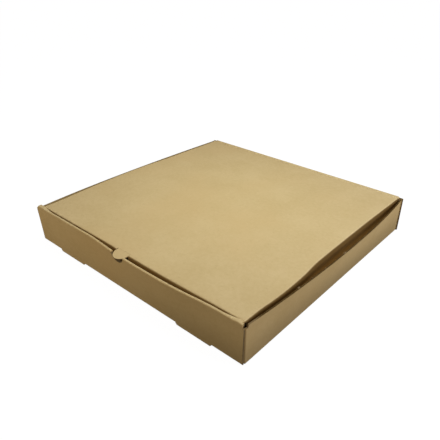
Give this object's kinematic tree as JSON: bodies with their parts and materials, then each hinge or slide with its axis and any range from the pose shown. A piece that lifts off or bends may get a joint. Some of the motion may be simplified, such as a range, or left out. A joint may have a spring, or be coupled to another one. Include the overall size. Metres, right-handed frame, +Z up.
{
  "type": "pizza box",
  "caption": "Square folding pizza box of plain kraft corrugated board, with a hinged tuck-in lid, a roll-over front wall, a thumb notch and tab, and lock-tab feet.",
  "frame": {"origin": "centre of the base panel's underside, which is the flat face the box rests on; the front wall's two feet reach 1.4 mm below it", "axes": "+X to the right along the front wall, +Y back towards the hinged rear wall, +Z up"},
  "size_m": [0.3219, 0.3157, 0.0474],
  "materials": {
    "kraft_board_tray": "plain brown kraft liner, matte, raw fluted edges",
    "kraft_board_lid": "plain brown kraft liner, matte, raw fluted edges"
  },
  "bodies": {
    "tray": {"tray": "kraft_board_tray"},
    "lid": {"lid": "kraft_board_lid"}
  },
  "joints": [
    {"name": "lid_hinge", "type": "hinge", "parent": "tray", "child": "lid", "pos_m": [0, 0.15435, 0.04395], "axis": [-1, 0, 0], "range_deg": [0, 180]}
  ]
}
